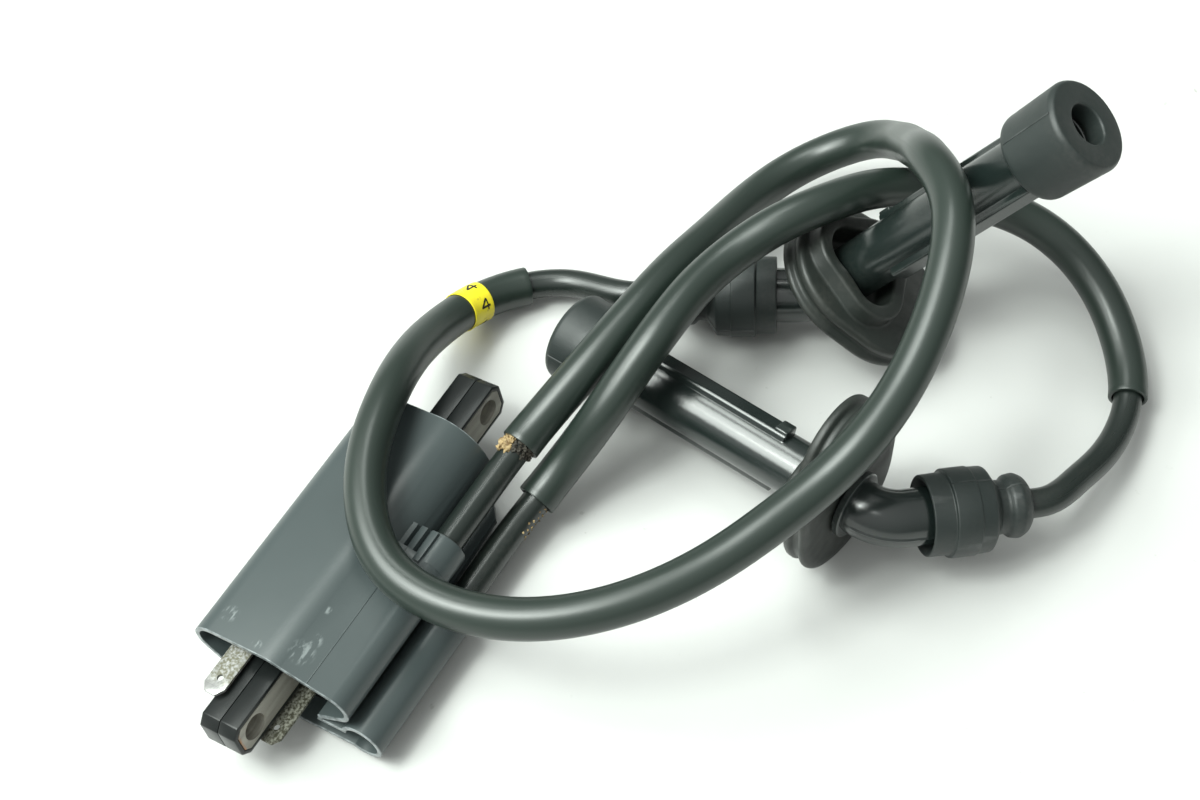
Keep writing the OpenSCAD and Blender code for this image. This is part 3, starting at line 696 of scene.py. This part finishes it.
# Dried glue on one side of the first sleeve's start, torn crumbs on the other, grit on lead B
piece(
    "sleeve_a_glue", scatter(line_a, sleeve_a_from - 3.4, 0.55, range(-88, -8, 4), LEAD_R, 0.75, 1),
    "dried_glue", sharp=60)
piece(
    "sleeve_a_crumbs", scatter(line_a, sleeve_a_from - 2.6, 0.5, range(0, 96, 6), LEAD_R + 0.1, 0.6, 4),
    "grit", sharp=60)
piece(
    "lead_b_grit", scatter(line_b, sleeve_b_from - 9, 1.4, range(55, 120, 4), LEAD_R, 0.24, 2),
    "dried_glue", sharp=60)

# ---- Coil body ----
piece("housing_shell", [refined("housing", 0.35, 3)], "housing_plastic", stands_for=["housing"])

# The parting line along the housing's fairing
SEAM_SPOT = Vector((0, -13.2, 6.81))
SEAM_TILT = Matrix.Rotation(math.radians(19.1), 4, "X")
piece("housing_seam", [box_skin((-35.8, -0.14, -0.3), (3.8, 0.14, 0.1), 0.05)], "housing_plastic",
      place=BODY @ Matrix.Translation(SEAM_SPOT) @ SEAM_TILT)

for cover in ("near_left", "near_right", "far_left", "far_right"):
    node = "core_cover_" + cover
    piece(node + "_skin", [refined(node, 0.3)], "cover_plastic", stands_for=[node])
piece("core_stack", [refined("core_laminations", 0.12)], "core_steel",
      stands_for=["core_laminations"])
for tower in ("a", "b"):
    node = "tower_seal_" + tower
    piece(node + "_ring", [refined(node, 0.25, 3)], "seal_rubber", stands_for=[node])
piece("tab_positive", [refined("terminal_positive", 0.1)], "tinned_brass",
      stands_for=["terminal_positive"])
piece("tab_negative", [refined("terminal_negative", 0.1)], "corroded_tin",
      stands_for=["terminal_negative"])


# ---- Plug caps ----
STEM_R = 7.0
ELBOW_R = 6.8
ARM_LEN = 24
SEAM_RIDGE = 0.3  # height of the moulding line along the arm and elbow
SEAM_HALF_TURN = 0.07  # half its width, in radians
RIB_TURNS = (math.radians(104), math.radians(284))
RIB_FROM = 28.4
RIB_TO = 74.5
RIB_HALF_TURN = 1.2
RIB_HALF_WIDTH = 2.6


def between(angle, other):
    """Smallest turn between two directions."""
    return abs((angle - other + math.pi) % (2 * math.pi) - math.pi)


def stem_radius(angle, x):
    """Radius of a cap's stem: a round tube with two flat ribs."""
    radius = STEM_R
    if RIB_FROM < x < RIB_TO:
        for rib in RIB_TURNS:
            off = between(angle, rib)
            if off < RIB_HALF_TURN:
                flat = (STEM_R + 1.2) / math.cos(off)
                shoulder = STEM_R + 1.5 - (off * STEM_R / RIB_HALF_WIDTH) ** 8
                radius = max(radius, min(flat, shoulder))
    return radius


def cap_rings(count=180):
    """Rings of a cap's outer skin from the lead end, round the elbow, to the plug end."""
    tangent = 5.5
    turn_r = tangent / math.tan(BEND / 2)
    stations = []
    arm = Vector((-math.cos(BEND), math.sin(BEND), 0))
    for d in (ARM_LEN, ARM_LEN - 0.4, 18, 14, 10, 7.5, tangent):
        stations.append((arm * d, -arm))
    centre = arm * tangent + Vector((0, 0, 1)).cross(-arm) * turn_r
    for i in range(1, 12):
        swing = BEND * i / 12
        turning = Matrix.Rotation(swing, 4, "Z")
        stations.append((centre + turning @ (arm * tangent - centre), turning @ -arm))
    rings = []
    for spot, forward in stations:
        side = Vector((0, 0, 1)).cross(forward)
        ring = []
        for a, b in circle(1.0, count):
            angle = math.atan2(b, a)
            off_seam = min(between(angle, 0.0), between(angle, math.pi))
            ridge = SEAM_RIDGE * max(0.0, 1 - (off_seam / SEAM_HALF_TURN) ** 2)
            chamfer = 0.5 if (spot - arm * ARM_LEN).length < 0.01 else 0.0
            r = ELBOW_R + ridge - chamfer
            ring.append(spot + side * (a * r) + Vector((0, 0, b * r)))
        rings.append(ring)
    collar = [(tangent + 0.4, ELBOW_R), (6.6, ELBOW_R), (6.8, STEM_R + 1.1), (7.1, STEM_R + 1.4),
              (8.4, STEM_R + 1.4), (8.7, STEM_R + 1.1), (8.75, STEM_R)]
    for x, r in collar:
        rings.append([Vector((x, a * r, b * r)) for a, b in circle(1.0, count)])
    for x in (12, 21, 21.5, 22, 28.3, 28.5, 29, 40, 52, 64, 74, 74.4, 74.6, 80, 85.5):
        ring = []
        for a, b in circle(1.0, count):
            r = stem_radius(math.atan2(b, a), x)
            ring.append(Vector((x, a * r, b * r)))
        rings.append(ring)
    for x, r in ((86, 6.6), (86, 5.9), (85.7, 5.6), (70, 5.6), (45, 5.6)):
        rings.append([Vector((x, a * r, b * r)) for a, b in circle(1.0, count)])
    return rings


SEAL_COUNT = 144
DIRECTIONS = 720
NEARLY_QUARTER_TURN = 1.45


def hull_radius(discs):
    """Radius by direction, about the origin, of the convex outline round some (x, y, r) discs."""
    directions = [2 * math.pi * k / DIRECTIONS for k in range(DIRECTIONS)]
    support = [max(x * math.cos(t) + y * math.sin(t) + r for x, y, r in discs) for t in directions]
    radii = []
    for k in range(SEAL_COUNT):
        angle = 2 * math.pi * k / SEAL_COUNT
        radii.append(min(s / math.cos(between(angle, t)) for s, t in zip(support, directions)
                         if between(angle, t) < NEARLY_QUARTER_TURN))
    return radii


# The outlines of a well seal's flange and collar, and of its hole
FLANGE = hull_radius([(0, 0, 18.5), (8, 0, 19), (16.5, 0, 14)])
COLLAR = hull_radius([(6 * math.cos(math.radians(a)), 6 * math.sin(math.radians(a)), 9.5)
                      for a in (60, 180, 300)])
HOLE = [STEM_R + 0.08] * SEAL_COUNT
SEAL_X = 9
COLLAR_INSET = 1.55


def seal_skin():
    """A well seal: a lipped flange with a hollow three-cornered collar."""
    profile = [
        (0.0, HOLE, 0.0), (0.0, FLANGE, -3.0), (0.05, FLANGE, -0.9), (0.35, FLANGE, -0.25),
        (0.9, FLANGE, 0.0), (1.5, FLANGE, -0.05), (2.0, FLANGE, -0.45), (2.25, FLANGE, -1.1),
        (2.6, FLANGE, -1.35), (3.7, FLANGE, -1.35), (4.05, FLANGE, -1.1), (4.35, FLANGE, -0.6),
        (4.8, FLANGE, -0.4), (5.8, FLANGE, -0.45), (6.35, FLANGE, -0.8), (6.6, FLANGE, -1.5),
        (6.62, COLLAR, 0.9), (6.8, COLLAR, 0.3), (7.2, COLLAR, 0.05), (10.2, COLLAR, -0.15),
        (10.7, COLLAR, -0.35), (10.95, COLLAR, -0.8), (11.0, COLLAR, -1.2), (11.0, COLLAR, -3.2),
        (10.9, COLLAR, -3.6), (10.5, COLLAR, -3.95), (9.5, COLLAR, -4.0), (5.0, COLLAR, -4.1),
        (4.45, COLLAR, -4.5), (4.2, COLLAR, -5.2), (4.2, HOLE, 0.6), (4.0, HOLE, 0.0),
    ]
    rings = []
    for x, outline, offset in profile:
        ring = []
        for (a, b), r in zip(circle(1.0, SEAL_COUNT), outline):
            reach = r + offset
            if outline is COLLAR and offset > 0:
                reach = min(reach, FLANGE[len(ring)] - COLLAR_INSET)
            ring.append((SEAL_X + x, a * reach, b * reach))
        rings.append(ring)
    return loft(rings, closed=True)


# The two boots as (distance, radius): one along the lead arm, the other along the stem
LEAD_BOOT_X = 9.6
LEAD_BOOT_R = 10.5
LEAD_BOOT_PROFILE = [
    (LEAD_BOOT_X, ELBOW_R + 2.0), (LEAD_BOOT_X, LEAD_BOOT_R - 0.9),
    (LEAD_BOOT_X + 5.2, LEAD_BOOT_R - 0.8), (LEAD_BOOT_X + 5.3, LEAD_BOOT_R),
    (LEAD_BOOT_X + 11.2, LEAD_BOOT_R), (LEAD_BOOT_X + 11.4, LEAD_BOOT_R - 0.25),
    (LEAD_BOOT_X + 15, LEAD_BOOT_R - 0.4), (LEAD_BOOT_X + 17.3, ELBOW_R - 0.3),
    (LEAD_BOOT_X + 19.4, ELBOW_R - 0.5), (LEAD_BOOT_X + 20.4, ELBOW_R + 0.6),
    (LEAD_BOOT_X + 22.6, ELBOW_R + 0.9), (LEAD_BOOT_X + 24.3, ELBOW_R),
    (35, ELBOW_R - 1.4), (35, LEAD_R + 0.05), (24.4, LEAD_R + 0.05),
    (24.4, ELBOW_R + 0.05), (LEAD_BOOT_X + 3, ELBOW_R + 0.05),
]
BOOT_START = 75
BOOT_PROFILE = [
    (BOOT_START, STEM_R + 0.05), (BOOT_START, 10.4), (BOOT_START + 1.2, 10.8),
    (STEM_LEN - 1.2, 11.4), (STEM_LEN, 10.7), (STEM_LEN, 5.3), (STEM_LEN - 0.5, 5.0),
    (STEM_LEN - 4.5, 5.0), (STEM_LEN - 5.9, 5.6), (STEM_LEN - 5.9, STEM_R + 0.05),
]


def seam_skin(profile, angle, lift=0.14, width=0.3):
    """A thin moulded parting line that follows a turned profile."""
    rings = []
    for x, r in profile:
        ring = []
        for sideways, out in ((-width, -0.1), (-width * 0.5, lift), (width * 0.5, lift), (width, -0.1)):
            turn = angle + sideways / r
            ring.append((x, (r + out) * math.cos(turn), (r + out) * math.sin(turn)))
        rings.append(ring)
    return loft(rings, cap_start=True, cap_end=True)


# From +x to the lead arm's direction, and a quarter turn about +x
ARM_TURN = Matrix.Rotation(math.pi - BEND, 4, "Z")
QUARTER_TURN = Matrix(((1, 0, 0, 0), (0, 0, 1, 0), (0, -1, 0, 0), (0, 0, 0, 1)))
# The small block on each stem: its two far corners, and its turn round the stem
STOP_LOW = (28.2, -2.3, 6.0)
STOP_HIGH = (31.8, 2.3, 9.0)
STOP_TURN = Matrix.Rotation(math.radians(194), 4, "X")
for cap in (0, 1):
    number = str(cap + 1)
    place = cap_matrix(cap)
    body_skin = loft(cap_rings(), cap_start=True, cap_end=True)
    stop_points, stop_faces = box_skin(STOP_LOW, STOP_HIGH, 0.4)
    stop = ([STOP_TURN @ p for p in stop_points], stop_faces)
    piece("cap_body_" + number + "_shell", [body_skin, stop], "cap_plastic", place=place,
          stands_for=["cap_body_" + number], sharp=32)
    boot = lathe(fillet(LEAD_BOOT_PROFILE, 0.5))
    seams = [seam_skin(LEAD_BOOT_PROFILE[2:12], math.pi * i) for i in (0.5, 1.5)]
    piece("lead_boot_" + number + "_rubber", [boot, *seams], "boot_rubber",
          place=place @ ARM_TURN, stands_for=["lead_boot_" + number], sharp=50)
    plug_boot = lathe(fillet(BOOT_PROFILE, 0.5))
    seams = [seam_skin(BOOT_PROFILE[2:4], math.pi * i) for i in (0.05, 1.05)]
    piece("plug_boot_" + number + "_rubber", [plug_boot, *seams], "boot_rubber", place=place,
          stands_for=["plug_boot_" + number], sharp=50)
    turn = Matrix.Rotation(math.radians(SEAL_TURNS[cap]), 4, "X")
    piece("well_seal_" + number + "_rubber", [seal_skin()], "seal_rubber",
          body="well_seal_" + number, place=place @ turn @ QUARTER_TURN,
          stands_for=["well_seal_" + number], sharp=50)

# ---- Floor and light, in metres ----
REACH = 3.0
FLOOR_Z = -0.0002
floor_corners = [(x * REACH, y * REACH, FLOOR_Z) for x, y in ((-1, -1), (1, -1), (1, 1), (-1, 1))]
floor_mesh = bpy.data.meshes.new("floor")
floor_mesh.from_pydata(floor_corners, [], [(0, 1, 2, 3)])
floor_mesh.materials.append(floor_finish())
floor = bpy.data.objects.new("floor", floor_mesh)
scene.collection.objects.link(floor)


def area_light(name, spot, aim, size, power, colour=(1, 1, 1)):
    """A rectangular light at a spot, turned towards a point."""
    data = bpy.data.lights.new(name, "AREA")
    data.shape = "RECTANGLE"
    data.size, data.size_y = size
    data.energy = power
    data.color = colour
    light = bpy.data.objects.new(name, data)
    light.location = spot
    light.rotation_euler = (Vector(aim) - Vector(spot)).to_track_quat("-Z", "Y").to_euler()
    scene.collection.objects.link(light)


# Every light is turned towards the middle of the coil, its leads and its caps
MIDDLE = (0.1, -0.05, 0.0)
SOFT_WHITE = (0.93, 1.0, 0.95)
area_light("softbox", (-0.8, 1.15, 2.2), MIDDLE, (1.9, 1.9), 108, SOFT_WHITE)
area_light("core", (-0.76, 0.7, 2.1), MIDDLE, (0.4, 0.4), 16, SOFT_WHITE)
area_light("lamp", (0.33, 0.26, 0.7), MIDDLE, (0.2, 0.2), 1.1, SOFT_WHITE)

# Light from all round: bright overhead and on the softbox's side, dim on the other side
world = bpy.data.worlds.new("studio")
world.use_nodes = True
sky = world.node_tree.nodes
background = sky["Background"]
direction = sky.new("ShaderNodeTexCoord")
towards = sky.new("ShaderNodeVectorMath")
towards.operation = "DOT_PRODUCT"
towards.inputs[1].default_value = (-0.4, 0.3, 0.87)
strength = sky.new("ShaderNodeMapRange")
strength.inputs["From Min"].default_value = -0.1
strength.inputs["From Max"].default_value = 0.9
strength.inputs["To Min"].default_value = 0.2
strength.inputs["To Max"].default_value = 0.85
world.node_tree.links.new(direction.outputs["Generated"], towards.inputs[0])
world.node_tree.links.new(towards.outputs["Value"], strength.inputs["Value"])
world.node_tree.links.new(strength.outputs["Result"], background.inputs["Strength"])
background.inputs["Color"].default_value = (0.95, 1.0, 0.97, 1)
scene.world = world
scene.view_settings.view_transform = "Standard"
